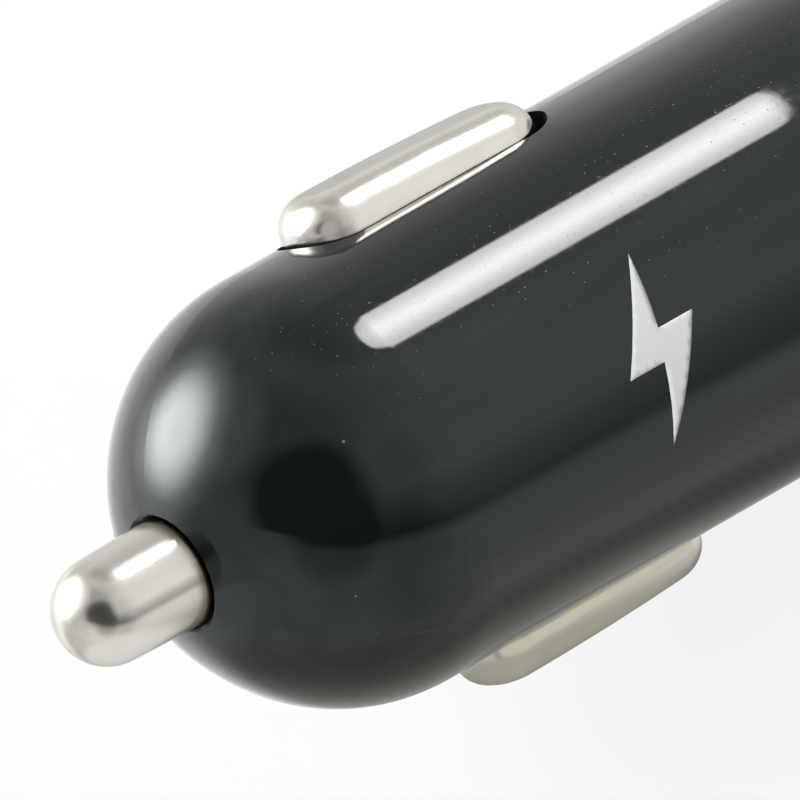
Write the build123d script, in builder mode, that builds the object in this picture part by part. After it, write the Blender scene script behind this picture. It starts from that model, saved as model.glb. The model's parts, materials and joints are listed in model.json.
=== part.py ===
from build123d import *
import os
from math import acos, cos, degrees, radians, sin, sqrt, tan

# Car USB charger plug, in millimetres. It stands on its flat rear face with the centre pin up:
# Z is the plug's axis, the rear face is z = 0 and the side contacts slide along X.

# Housing
barrel_radius = 10.35  # the half-ball nose, and the barrel at the foot of the nose
barrel_draft = 0.3  # degrees a side, the barrel widens towards the head
barrel_length = 33.5  # from the head to the foot of the nose
wall = 1.6
head_radius = 12.5
head_length = 14.0  # from the rear face to the barrel
head_wall = 1.8
shoulder_length = 4.5  # slope between the head and the barrel
shoulder_round = 8.0
seam_chamfer = 0.25  # on both edges of the seam between the head and the cap

# Rear cap, snapped into the head
cap_thickness = 2.4
cap_edge_chamfer = 0.8
cap_plug_depth = 4.0
cap_plug_wall = 1.3
cap_clearance = 0.1
snap_height = 0.25
snap_width = 0.9

# Centre pin and its coil spring
pin_root_radius = 2.7
pin_tip_radius = 2.55
pin_reach = 6.0  # from the top of the nose to the pin's tip
pin_travel = 3.0
pin_hole_clearance = 0.12
pin_flange_lip = 1.3
pin_flange_thickness = 1.2
pin_bore_depth = 3.5
nose_wall = 1.9  # thickness of the nose round the pin
nose_edge_chamfer = 0.1
guide_clearance = 0.2
guide_margin = 1.3  # length of the guide below the pushed-in flange
guide_wall = 1.3
spring_wire = 0.5
spring_radius = 1.55  # to the middle of the wire
spring_turns = 6
spring_wire_sides = 6  # flats that stand for the round wire
spring_bore_clearance = 0.2
spring_seat_gap = 0.05

# Side contacts, drawn from sheet, and their leaf springs
contact_width = 5.0
contact_length = 14.0
contact_start = 2.7  # behind the foot of the nose
contact_reach = 1.75  # height of the front end above the barrel
contact_fall = 0.4  # drop of the crown towards the rear
contact_arch = 0.14  # bow of the crown from end to end
contact_sheet = 0.45
contact_corner = 2.3
contact_crown_round = 1.65
contact_lip = 0.8
contact_seat_gap = 0.05
contact_travel = 1.7
slot_side_gap = 0.12
slot_front_gap = 0.35
slot_rear_gap = 0.8
leaf_sheet = 0.3
leaf_gap = 0.05  # between the leaf's bow and the contact's flange
leaf_foot_length = 3.0
leaf_foot_width = 1.5
leaf_edge_gap = 0.15

# Circuit board
board_thickness = 1.6
board_rear_gap = 0.6  # between the cap and the board
board_front_gap = 1.0  # behind the foot of the nose
board_fit = 0.05
rail_grip = 0.4
rail_depth = 1.0
rail_stop = 1.2

# USB socket
usb_opening_width = 12.5
usb_opening_height = 5.12
usb_sheet = 0.3
usb_corner = 0.6
usb_recess = 0.4
usb_depth = 11.9
usb_block_length = 3.1
usb_window_gap = 0.15
usb_fit = 0.03
usb_leg_width = 1.2
usb_leg_gap = 0.1
usb_leg_reach = 0.6  # below the board
tongue_width = 11.1
tongue_thickness = 1.84
tongue_length = 10.7
tongue_top_gap = 0.68
usb_contact_sheet = 0.3
usb_contact_width = 1.0
usb_contact_sink = 0.2
usb_contact_setback = 0.8
usb_contact_foot = 0.7
usb_contact_inner = 1.0  # from the middle of the socket
usb_contact_outer = 3.5

# Parts on the board
part_gap = 0.6
can_radius = 2.5
can_height = 8.0
can_crimp = 0.35
can_top_chamfer = 0.3
drum_radius = 3.3
drum_height = 5.0
drum_hub_radius = 1.8
drum_flange = 0.9
winding_inset = 0.3
chip_width = 3.9
chip_length = 4.9
chip_height = 1.5
chip_standoff = 0.1
chip_edge = 0.25
chip_lead_pitch = 1.27
chip_leads_a_side = 4
chip_lead_width = 0.4
chip_lead_sheet = 0.2
chip_lead_shoulder = 0.35
chip_lead_foot = 0.5
diode_length = 4.3
diode_width = 2.6
diode_height = 2.2
diode_tab = 0.4
fuse_length = 4.5
fuse_width = 3.2
fuse_height = 0.8
resistor_size = (0.8, 0.45, 1.6)
resistor_pitch = 1.6
resistor_count = 4
capacitor_size = (1.25, 1.0, 2.0)
capacitor_pitch = 2.2
capacitor_count = 3
led_size = (3.0, 1.2, 1.6)
led_gap = 0.1
light_pipe_radius = 1.0
light_pipe_flange = 0.4
light_pipe_recess = 0.1
light_pipe_fit = 0.04
terminal_sheet = 0.4
terminal_width = 5.0
terminal_foot = 2.0
terminal_boss_radius = 1.1
terminal_boss_height = 0.8

# Places along the axis
draft = radians(barrel_draft)
nose_foot_z = head_length + barrel_length
contact_front_z = nose_foot_z - contact_start
contact_rear_z = contact_front_z - contact_length
contact_mid_z = (contact_front_z + contact_rear_z) / 2
board_rear_z = cap_thickness + board_rear_gap
board_front_z = nose_foot_z - board_front_gap
board_step_z = contact_rear_z - contact_lip - rail_stop - part_gap
usb_block_z = usb_recess + usb_depth
usb_end_z = usb_block_z + usb_block_length


def barrel_radius_at(z):
    """Outer radius of the barrel, tangent to the nose."""
    return barrel_radius / cos(draft) + (nose_foot_z - z) * tan(draft)


def bore_radius_at(z):
    """Inner radius of the barrel, one wall inside."""
    return (barrel_radius - wall) / cos(draft) + (nose_foot_z - z) * tan(draft)


# Centre pin: places and radii that the nose shares
pin_hole_radius = pin_root_radius + pin_hole_clearance
pin_seat_z = nose_foot_z + sqrt(barrel_radius**2 - pin_hole_radius**2) - nose_wall
pin_flange_radius = pin_root_radius + pin_flange_lip
pin_flange_z = pin_seat_z - pin_flange_thickness
pin_bore_top_z = pin_flange_z + pin_bore_depth
guide_radius = pin_flange_radius + guide_clearance
guide_outer_radius = guide_radius + guide_wall
guide_end_z = pin_flange_z - pin_travel - guide_margin

# Head and cap: radii that fit each other
head_bore_radius = head_radius - head_wall
cap_plug_radius = head_bore_radius - cap_clearance
cap_plug_end_z = cap_thickness + cap_plug_depth
snap_mid_z = cap_thickness + cap_plug_depth / 2

# Board: heights across the axis, set by the centred USB socket
usb_width = usb_opening_width + 2 * usb_sheet
usb_height = usb_opening_height + 2 * usb_sheet
board_top_y = -usb_height / 2
board_bottom_y = board_top_y - board_thickness
board_mid_y = (board_top_y + board_bottom_y) / 2
board_half_width = usb_opening_width / 2 - usb_leg_gap  # the socket's legs clasp its edges
rail_bore_radius = bore_radius_at(board_step_z + rail_stop)
rail_inner_x = board_half_width - rail_grip

# Side contacts: distances from the axis
contact_flange_half = contact_width / 2 + contact_lip
contact_seat_radius = bore_radius_at(contact_front_z + contact_lip)
contact_seat_x = sqrt(contact_seat_radius**2 - contact_flange_half**2) - contact_seat_gap
contact_foot_x = contact_seat_x - contact_sheet
crown_front_x = barrel_radius_at(contact_front_z) + contact_reach
crown_rear_x = crown_front_x - contact_fall
crown_mid_x = (crown_front_x + crown_rear_x) / 2 + contact_arch
board_neck_half = min(rail_inner_x - board_fit, contact_foot_x - contact_travel - leaf_sheet)

# Barrel shell: nose, barrel and head skirt moulded in one piece
bore_nose_radius = barrel_radius - wall
snap_groove_radius = head_bore_radius + snap_height
snap_groove_half = snap_width / 2 + cap_clearance
head_bore_end_z = cap_plug_end_z + cap_clearance
hole_angle = degrees(acos(pin_hole_radius / barrel_radius))
guide_angle = degrees(acos(guide_outer_radius / bore_nose_radius))
head_corner = (head_radius, head_length - shoulder_length)
neck_corner = (barrel_radius_at(head_length), head_length)
seam_corner = (head_radius, cap_thickness)
hole_edge = (pin_hole_radius, nose_foot_z + sqrt(barrel_radius**2 - pin_hole_radius**2))
nose_foot = (barrel_radius * cos(draft), nose_foot_z - barrel_radius * sin(draft))
bore_foot = (bore_nose_radius * cos(draft), nose_foot_z - bore_nose_radius * sin(draft))
guide_root = (guide_outer_radius, nose_foot_z + sqrt(bore_nose_radius**2 - guide_outer_radius**2))

with BuildPart() as barrel_shell:
    with BuildSketch(Plane.XZ) as shell_section:
        with BuildLine():
            Polyline(seam_corner, head_corner, neck_corner, nose_foot)
            CenterArc((0, nose_foot_z), barrel_radius, -barrel_draft, hole_angle + barrel_draft)
            Polyline(
                hole_edge,
                (pin_hole_radius, pin_seat_z),
                (guide_radius, pin_seat_z),
                (guide_radius, guide_end_z),
                (guide_outer_radius, guide_end_z),
                guide_root,
            )
            CenterArc((0, nose_foot_z), bore_nose_radius, -barrel_draft, guide_angle + barrel_draft)
            Polyline(
                bore_foot,
                (bore_radius_at(head_length), head_length),
                (head_bore_radius, head_bore_end_z),
                (head_bore_radius, snap_mid_z + snap_groove_half),
                (snap_groove_radius, snap_mid_z + snap_groove_half - snap_height),
                (snap_groove_radius, snap_mid_z - snap_groove_half + snap_height),
                (head_bore_radius, snap_mid_z - snap_groove_half),
                (head_bore_radius, cap_thickness),
                seam_corner,
            )
        make_face()
        fillet(shell_section.vertices().sort_by_distance(head_corner)[0], shoulder_round)
        fillet(shell_section.vertices().sort_by_distance(neck_corner)[0], shoulder_round)
        chamfer(shell_section.vertices().sort_by_distance(hole_edge)[0], nose_edge_chamfer)
        chamfer(shell_section.vertices().sort_by_distance(seam_corner)[0], seam_chamfer)
    revolve(axis=Axis.Z)
    # Slots for the side contacts, through both sides
    slot_rear_z = contact_rear_z - slot_rear_gap
    slot_front_z = contact_front_z + slot_front_gap
    with BuildSketch(Plane.YZ):
        with Locations((0, (slot_rear_z + slot_front_z) / 2)):
            RectangleRounded(
                contact_width + 2 * slot_side_gap,
                slot_front_z - slot_rear_z,
                contact_corner + slot_side_gap,
            )
    extrude(amount=head_radius, both=True, mode=Mode.SUBTRACT)
    # Rails that hold the board's edges, with a stop in front of its shoulders
    rail_rear_z = usb_end_z + part_gap
    rail_height = board_thickness + 2 * rail_depth
    with BuildSketch(Plane.XY.offset(rail_rear_z)):
        with Locations((0, board_mid_y)):
            Rectangle(2 * barrel_radius, rail_height)
            Rectangle(2 * rail_inner_x, rail_height, mode=Mode.SUBTRACT)
        Circle(rail_bore_radius + wall / 2, mode=Mode.INTERSECT)
    extrude(amount=board_step_z + rail_stop - rail_rear_z)
    with BuildSketch(Plane.XY.offset(rail_rear_z)):
        with Locations((0, board_mid_y)):
            Rectangle(2 * (board_half_width + board_fit), board_thickness + 2 * board_fit)
    extrude(amount=board_step_z + board_fit - rail_rear_z, mode=Mode.SUBTRACT)

# Rear cap: end face with the socket's window, and a plug that snaps into the head
light_pipe_y = board_bottom_y - led_size[1] / 2
cap_face_corner = (head_radius, 0)
with BuildPart() as rear_cap:
    with BuildSketch(Plane.XZ) as cap_section:
        snap_radius = cap_plug_radius + snap_height
        with BuildLine():
            Polyline(
                (0, 0),
                cap_face_corner,
                seam_corner,
                (cap_plug_radius, cap_thickness),
                (cap_plug_radius, snap_mid_z - snap_width / 2),
                (snap_radius, snap_mid_z - snap_width / 2 + snap_height),
                (snap_radius, snap_mid_z + snap_width / 2 - snap_height),
                (cap_plug_radius, snap_mid_z + snap_width / 2),
                (cap_plug_radius, cap_plug_end_z),
                (cap_plug_radius - cap_plug_wall, cap_plug_end_z),
                (cap_plug_radius - cap_plug_wall, cap_thickness),
                (0, cap_thickness),
                close=True,
            )
        make_face()
        chamfer(cap_section.vertices().sort_by_distance(cap_face_corner)[0], cap_edge_chamfer)
        chamfer(cap_section.vertices().sort_by_distance(seam_corner)[0], seam_chamfer)
    revolve(axis=Axis.Z)
    # Pads that the board's rear edge rests on
    pad_width = 2 * rail_grip + rail_depth
    with BuildSketch(Plane.XY.offset(cap_thickness)):
        with Locations((0, board_mid_y)):
            with GridLocations(2 * board_half_width - pad_width, 0, 2, 1):
                Rectangle(pad_width, board_thickness)
    extrude(amount=board_rear_gap)
    with BuildSketch():
        RectangleRounded(
            usb_width + 2 * usb_window_gap,
            usb_height + 2 * usb_window_gap,
            usb_corner + usb_window_gap,
        )
        with Locations((0, light_pipe_y)):
            Circle(light_pipe_radius + light_pipe_fit)
    extrude(amount=board_rear_z, mode=Mode.SUBTRACT)

# Light pipe, pressed into the cap from inside
with BuildPart() as light_pipe:
    with BuildSketch(Plane.XY.offset(light_pipe_recess)):
        with Locations((0, light_pipe_y)):
            Circle(light_pipe_radius)
    extrude(amount=cap_thickness - light_pipe_recess)
    with BuildSketch(Plane.XY.offset(cap_thickness)):
        with Locations((0, light_pipe_y)):
            Circle(light_pipe_radius + light_pipe_flange)
    extrude(amount=board_rear_gap)

# Centre pin: turned, with a ball end, a stop flange and a bore for the spring
pin_ball_z = nose_foot_z + barrel_radius + pin_reach - pin_tip_radius
pin_bore_radius = spring_radius + spring_wire / 2 + spring_bore_clearance
with BuildPart() as centre_pin:
    with BuildSketch(Plane.XZ):
        with BuildLine():
            CenterArc((0, pin_ball_z), pin_tip_radius, 0, 90)
            Polyline(
                (pin_tip_radius, pin_ball_z),
                (pin_root_radius, pin_seat_z),
                (pin_flange_radius, pin_seat_z),
                (pin_flange_radius, pin_flange_z),
                (pin_bore_radius, pin_flange_z),
                (pin_bore_radius, pin_bore_top_z),
                (0, pin_bore_top_z),
                (0, pin_ball_z + pin_tip_radius),
            )
        make_face()
    revolve(axis=Axis.Z)

# Coil spring between the board's terminal and the pin
spring_start_z = board_front_z + spring_wire / 2 + spring_seat_gap
spring_height = pin_bore_top_z - board_front_z - spring_wire - 2 * spring_seat_gap
with BuildPart() as pin_spring:
    with BuildLine() as coil:
        Helix(spring_height / spring_turns, spring_height, spring_radius, center=(0, 0, spring_start_z))
    with BuildSketch(Plane(origin=coil.line @ 0, z_dir=coil.line % 0)):
        RegularPolygon(spring_wire / 2, spring_wire_sides)
    sweep(path=coil.line, is_frenet=True)

# Terminal: bent strip on the board's front edge, with a boss inside the spring
with BuildPart() as pin_terminal:
    with BuildSketch(Plane.YZ):
        with BuildLine():
            Polyline(
                (board_top_y, board_front_z - terminal_foot),
                (board_top_y, board_front_z),
                (terminal_width / 2, board_front_z),
                (terminal_width / 2, board_front_z - terminal_sheet),
                (board_top_y + terminal_sheet, board_front_z - terminal_sheet),
                (board_top_y + terminal_sheet, board_front_z - terminal_foot),
                close=True,
            )
        make_face()
    extrude(amount=terminal_width / 2, both=True)
    with BuildSketch(Plane.XY.offset(board_front_z)):
        Circle(terminal_boss_radius)
    extrude(amount=terminal_boss_height)

# Side contact: a drawn boat with a sloping crown and a flange that stops inside the barrel
def contact_boat(inset):
    """Solid boat from the flange outwards, with its crown and sides moved in by the inset."""
    with BuildPart() as boat:
        with BuildSketch(Plane.XZ):
            with BuildLine():
                Polyline(
                    (crown_rear_x - inset, contact_rear_z + inset),
                    (contact_foot_x, contact_rear_z + inset),
                    (contact_foot_x, contact_front_z - inset),
                    (crown_front_x - inset, contact_front_z - inset),
                )
                ThreePointArc(
                    (crown_rear_x - inset, contact_rear_z + inset),
                    (crown_mid_x - inset, contact_mid_z),
                    (crown_front_x - inset, contact_front_z - inset),
                )
            make_face()
        extrude(amount=contact_width / 2 - inset, both=True)
        fillet(boat.edges().filter_by(Axis.X), contact_corner - inset)
        fillet(boat.faces().sort_by(Axis.X)[-1].edges(), contact_crown_round - inset)
    return boat


outer_boat = contact_boat(0)
inner_boat = contact_boat(contact_sheet)
with BuildPart() as right_contact:
    with BuildSketch(Plane.YZ.offset(contact_foot_x)):
        with Locations((0, contact_mid_z)):
            RectangleRounded(
                contact_width + 2 * contact_lip,
                contact_length + 2 * contact_lip,
                contact_corner + contact_lip,
            )
    extrude(amount=contact_sheet)
    add(outer_boat.part)
    add(inner_boat.part, mode=Mode.SUBTRACT)

with BuildPart() as left_contact:
    mirror(right_contact.part, about=Plane.YZ)

# Leaf spring: a bow behind the contact's flange, on an upright with a foot on the board
leaf_x = board_neck_half - leaf_edge_gap - leaf_sheet / 2
leaf_rise = contact_foot_x - leaf_gap - leaf_sheet / 2 - leaf_x
leaf_half_width = -board_top_y - leaf_gap
bow_rear_z = contact_rear_z
bow_front_z = contact_front_z
with BuildPart() as right_contact_spring:
    with BuildSketch(Plane.XZ):
        with BuildLine():
            ThreePointArc(
                (leaf_x, bow_rear_z),
                (leaf_x + leaf_rise, (bow_rear_z + bow_front_z) / 2),
                (leaf_x, bow_front_z),
            )
        trace(line_width=leaf_sheet)
    extrude(amount=leaf_half_width, both=True)
    with BuildSketch(Plane.XY.offset(bow_rear_z - leaf_foot_length)):
        with BuildLine():
            Polyline(
                (leaf_x + leaf_sheet / 2, board_top_y),
                (leaf_x + leaf_sheet / 2, leaf_half_width),
                (leaf_x - leaf_sheet / 2, leaf_half_width),
                (leaf_x - leaf_sheet / 2, board_top_y + leaf_sheet),
                (leaf_x - leaf_foot_width, board_top_y + leaf_sheet),
                (leaf_x - leaf_foot_width, board_top_y),
                close=True,
            )
        make_face()
    extrude(amount=leaf_foot_length + leaf_sheet)

with BuildPart() as left_contact_spring:
    mirror(right_contact_spring.part, about=Plane.YZ)

# Circuit board: full width between the rails, narrow between the contacts
board_plane = Plane.XZ.offset(-board_top_y)
with BuildPart() as circuit_board:
    with BuildSketch(board_plane):
        with BuildLine():
            board_edge = Polyline(
                (0, board_rear_z),
                (board_half_width, board_rear_z),
                (board_half_width, board_step_z),
                (board_neck_half, board_step_z),
                (board_neck_half, board_front_z),
                (0, board_front_z),
            )
            mirror(board_edge, about=Plane.YZ)
        make_face()
    extrude(amount=board_thickness)

# USB socket: folded shell with four legs
with BuildPart() as usb_shell:
    with BuildSketch(Plane.XY.offset(usb_recess)):
        RectangleRounded(usb_width, usb_height, usb_corner)
        RectangleRounded(
            usb_opening_width, usb_opening_height, usb_corner - usb_sheet, mode=Mode.SUBTRACT
        )
    extrude(amount=usb_end_z - usb_recess)
    leg_places_z = (board_rear_z + 2 * usb_leg_width, usb_block_z)
    leg_top_y = board_top_y + usb_corner
    leg_end_y = board_bottom_y - usb_leg_reach
    for leg_z in leg_places_z:
        with BuildSketch(Plane.XY.offset(leg_z - usb_leg_width / 2)):
            with Locations((0, (leg_top_y + leg_end_y) / 2)):
                with GridLocations(usb_width - usb_sheet, 0, 2, 1):
                    Rectangle(usb_sheet, leg_top_y - leg_end_y)
        extrude(amount=usb_leg_width)

# Four spring strips along the tongue, down behind the block to the board
tongue_top_y = usb_opening_height / 2 - tongue_top_gap
tongue_bottom_y = tongue_top_y - tongue_thickness
tongue_front_z = usb_block_z - tongue_length
strip_y = tongue_bottom_y + usb_contact_sink - usb_contact_sheet / 2
strip_tail_z = usb_end_z + usb_contact_sheet / 2
strip_foot_y = board_top_y + usb_contact_sheet / 2
strip_places_x = (-usb_contact_outer, -usb_contact_inner, usb_contact_inner, usb_contact_outer)
with BuildPart() as usb_contacts:
    with BuildSketch(*[Plane.YZ.offset(x) for x in strip_places_x]):
        with BuildLine():
            Polyline(
                (strip_y, tongue_front_z + usb_contact_setback),
                (strip_y, strip_tail_z),
                (strip_foot_y, strip_tail_z),
                (strip_foot_y, strip_tail_z + usb_contact_foot),
            )
        trace(line_width=usb_contact_sheet)
    extrude(amount=usb_contact_width / 2, both=True)

# Insulator: block that closes the shell, with the tongue in front of it
with BuildPart() as usb_insulator:
    with BuildSketch(Plane.XY.offset(usb_block_z)):
        RectangleRounded(
            usb_opening_width - 2 * usb_fit, usb_opening_height - 2 * usb_fit, usb_corner - usb_sheet
        )
    extrude(amount=usb_block_length)
    with BuildSketch(Plane.XY.offset(tongue_front_z)):
        with Locations((0, (tongue_top_y + tongue_bottom_y) / 2)):
            Rectangle(tongue_width, tongue_thickness)
    extrude(amount=tongue_length)
    tongue_front = usb_insulator.faces().sort_by(Axis.Z)[0]
    chamfer(tongue_front.edges(), usb_contact_sheet)
    add(usb_contacts.part, mode=Mode.SUBTRACT)

# Places of the tall parts, one after the other in front of the socket
output_can_z = strip_tail_z + usb_contact_foot + part_gap + can_radius
drum_z = output_can_z + can_radius + part_gap + drum_radius
chip_z = drum_z + drum_radius + part_gap + chip_length / 2
input_can_z = chip_z + chip_length / 2 + part_gap + can_radius


def standing_can(z):
    """Electrolytic capacitor that stands on the board, crimped above its foot."""
    can_top_y = board_top_y + can_height
    with BuildPart() as can:
        with BuildSketch(Plane.XY.offset(z)) as can_section:
            with BuildLine():
                Polyline(
                    (0, board_top_y),
                    (can_radius, board_top_y),
                    (can_radius, board_top_y + 2 * can_crimp),
                    (can_radius - can_crimp, board_top_y + 3 * can_crimp),
                    (can_radius, board_top_y + 4 * can_crimp),
                    (can_radius, can_top_y),
                    (0, can_top_y),
                    close=True,
                )
            make_face()
            can_shoulder = can_section.vertices().sort_by_distance((can_radius, can_top_y))[0]
            chamfer(can_shoulder, can_top_chamfer)
        revolve(axis=Axis((0, 0, z), (0, 1, 0)))
    return can


output_capacitor = standing_can(output_can_z)
input_capacitor = standing_can(input_can_z)

# Inductor: drum core and the coil between its flanges
drum_axis = Axis((0, 0, drum_z), (0, 1, 0))
drum_top_y = board_top_y + drum_height
coil_low_y = board_top_y + drum_flange
coil_high_y = drum_top_y - drum_flange
with BuildPart() as inductor_core:
    with BuildSketch(Plane.XY.offset(drum_z)):
        with BuildLine():
            Polyline(
                (0, board_top_y),
                (drum_radius, board_top_y),
                (drum_radius, coil_low_y),
                (drum_hub_radius, coil_low_y),
                (drum_hub_radius, coil_high_y),
                (drum_radius, coil_high_y),
                (drum_radius, drum_top_y),
                (0, drum_top_y),
                close=True,
            )
        make_face()
    revolve(axis=drum_axis)

coil_outer_radius = drum_radius - winding_inset
with BuildPart() as inductor_winding:
    with BuildSketch(Plane.XY.offset(drum_z)):
        with Locations(((drum_hub_radius + coil_outer_radius) / 2, (coil_low_y + coil_high_y) / 2)):
            Rectangle(coil_outer_radius - drum_hub_radius, coil_high_y - coil_low_y)
    revolve(axis=drum_axis)

# Step-down converter: moulded body and its bent leads
chip_low_y = board_top_y + chip_standoff
chip_mid_y = chip_low_y + chip_height / 2
with BuildPart() as converter_chip:
    with BuildSketch(Plane.XZ.offset(-chip_low_y)):
        with Locations((0, chip_z)):
            Rectangle(chip_width, chip_length)
    extrude(amount=-chip_height)
    chamfer(converter_chip.faces().sort_by(Axis.Y)[-1].edges(), chip_edge)

lead_foot_y = board_top_y + chip_lead_sheet / 2
lead_knee_x = chip_width / 2 + chip_lead_shoulder
lead_row_length = (chip_leads_a_side - 1) * chip_lead_pitch
lead_places_z = [chip_z - lead_row_length / 2 + i * chip_lead_pitch for i in range(chip_leads_a_side)]
with BuildPart() as converter_leads:
    with BuildSketch(*[Plane.XY.offset(z) for z in lead_places_z]):
        with BuildLine():
            lead_line = Polyline(
                (chip_width / 2, chip_mid_y),
                (lead_knee_x, chip_mid_y),
                (lead_knee_x, lead_foot_y),
                (lead_knee_x + chip_lead_foot, lead_foot_y),
            )
            mirror(lead_line, about=Plane.YZ)
        trace(line_width=chip_lead_sheet)
    extrude(amount=chip_lead_width / 2, both=True)

# Flat parts under the board, in a row from the socket's end
diode_z = usb_end_z + part_gap + diode_length / 2 + diode_tab
resistor_z = diode_z + diode_length / 2 + diode_tab + part_gap + resistor_size[2] / 2
capacitor_z = resistor_z + resistor_size[2] / 2 + part_gap + capacitor_size[2] / 2
fuse_z = capacitor_z + capacitor_size[2] / 2 + part_gap + fuse_length / 2
board_underside = Plane.XZ.offset(-board_bottom_y)

with BuildPart() as rectifier_diode:
    with BuildSketch(board_underside):
        with Locations((0, diode_z)):
            Rectangle(diode_width, diode_length)
    extrude(amount=diode_height)
    chamfer(rectifier_diode.faces().sort_by(Axis.Y)[0].edges(), chip_edge)
    with BuildSketch(board_underside):
        with Locations((0, diode_z)):
            Rectangle(diode_width / 2, diode_length + 2 * diode_tab)
    extrude(amount=diode_height / 2)

with BuildPart() as resettable_fuse:
    with BuildSketch(board_underside):
        with Locations((0, fuse_z)):
            Rectangle(fuse_width, fuse_length)
            with GridLocations(0, fuse_length, 1, 2):
                Circle(fuse_height / 2, mode=Mode.SUBTRACT)
    extrude(amount=fuse_height)


def chip_row(size, pitch, count, z):
    """Row of equal chip parts on the underside of the board."""
    width, height, length = size
    with BuildPart() as row:
        with BuildSketch(board_underside):
            with Locations((0, z)):
                with GridLocations(pitch, 0, count, 1):
                    Rectangle(width, length)
        extrude(amount=height)
    return row


chip_resistors = chip_row(resistor_size, resistor_pitch, resistor_count, resistor_z)
chip_capacitors = chip_row(capacitor_size, capacitor_pitch, capacitor_count, capacitor_z)

# Indicator: side-looking lamp behind the light pipe
led_width, led_height, led_length = led_size
with BuildPart() as indicator_led:
    with BuildSketch(board_underside):
        with Locations((0, board_rear_z + led_gap + led_length / 2)):
            Rectangle(led_width, led_length)
    extrude(amount=led_height)
    chamfer(indicator_led.faces().sort_by(Axis.Y)[0].edges().filter_by(Axis.X), led_height / 4)

pieces = {
    "barrel_shell": barrel_shell,
    "rear_cap": rear_cap,
    "light_pipe": light_pipe,
    "centre_pin": centre_pin,
    "pin_spring": pin_spring,
    "pin_terminal": pin_terminal,
    "right_contact": right_contact,
    "left_contact": left_contact,
    "right_contact_spring": right_contact_spring,
    "left_contact_spring": left_contact_spring,
    "circuit_board": circuit_board,
    "usb_shell": usb_shell,
    "usb_insulator": usb_insulator,
    "usb_contacts": usb_contacts,
    "input_capacitor": input_capacitor,
    "output_capacitor": output_capacitor,
    "inductor_core": inductor_core,
    "inductor_winding": inductor_winding,
    "converter_chip": converter_chip,
    "converter_leads": converter_leads,
    "rectifier_diode": rectifier_diode,
    "resettable_fuse": resettable_fuse,
    "chip_resistors": chip_resistors,
    "chip_capacitors": chip_capacitors,
    "indicator_led": indicator_led,
}

os.makedirs("parts", exist_ok=True)
for name, piece in pieces.items():
    piece.part.label = name
    export_step(piece.part, f"parts/{name}.step")
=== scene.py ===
import json
from math import asin, cos, degrees, pi, radians, sin, tan

import bmesh
import bpy
from mathutils import Matrix, Vector


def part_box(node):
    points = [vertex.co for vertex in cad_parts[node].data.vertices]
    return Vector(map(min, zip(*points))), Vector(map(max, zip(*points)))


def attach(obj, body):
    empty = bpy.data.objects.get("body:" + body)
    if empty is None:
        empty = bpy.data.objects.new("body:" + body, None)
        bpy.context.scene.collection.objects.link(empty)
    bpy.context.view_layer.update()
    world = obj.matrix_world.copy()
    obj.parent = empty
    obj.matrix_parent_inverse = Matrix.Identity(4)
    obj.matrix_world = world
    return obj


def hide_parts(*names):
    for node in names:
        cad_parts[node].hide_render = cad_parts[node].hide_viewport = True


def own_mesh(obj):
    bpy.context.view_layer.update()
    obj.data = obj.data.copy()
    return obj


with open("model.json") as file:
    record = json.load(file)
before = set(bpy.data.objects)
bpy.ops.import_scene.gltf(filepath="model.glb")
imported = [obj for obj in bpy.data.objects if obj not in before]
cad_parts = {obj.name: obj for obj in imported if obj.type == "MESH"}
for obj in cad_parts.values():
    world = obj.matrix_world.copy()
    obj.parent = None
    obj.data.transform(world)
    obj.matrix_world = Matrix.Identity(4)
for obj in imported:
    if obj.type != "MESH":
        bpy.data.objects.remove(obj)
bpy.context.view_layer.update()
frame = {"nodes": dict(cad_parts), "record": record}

# Looks of a car USB charger plug, in metres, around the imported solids. The plug stands on its flat
# rear face, the centre pin points along +Z and the side contacts slide along X.

MM = 0.001

# View of the photograph
PICTURE = 800  # pixels, square
VIEW_AZIMUTH = 13.75  # degrees, the camera stands on the -Y side
VIEW_ELEVATION = 31.91
VIEW_DISTANCE = 0.7
VIEW_SCALE = 22.175 / MM  # pixels per metre at the foot of the nose
AXIS_ANGLE = 150.36  # direction of the pin in the picture, from right towards down
NOSE_FOOT = Vector((0, 0, 47.5 * MM))
NOSE_FOOT_PIXEL = (335.2, 480.05)
SENSOR = 36.0  # millimetres, as cameras count it
CLIP_NEAR, CLIP_FAR = 0.01, 20

# Barrel and nose, where the print and the strip of light are placed on them
BARREL_RADIUS = 10.35 * MM  # at the foot of the nose
BARREL_DRAFT = 0.3  # degrees


def direction(azimuth, elevation):
    """Unit vector towards an azimuth and elevation in degrees, with azimuth 0 along -Y and 90 along +X."""
    a, e = radians(azimuth), radians(elevation)
    return Vector((sin(a) * cos(e), -cos(a) * cos(e), sin(e)))


CAMERA_PLACE = NOSE_FOOT + VIEW_DISTANCE * direction(VIEW_AZIMUTH, VIEW_ELEVATION)


def add_object(name, data):
    """New object in the scene."""
    obj = bpy.data.objects.new(name, data)
    bpy.context.scene.collection.objects.link(obj)
    return obj


def finished_mesh(name, bm):
    """Mesh of what was built in bm."""
    mesh = bpy.data.meshes.new(name)
    bm.to_mesh(mesh)
    bm.free()
    return mesh


# Node helpers


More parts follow.
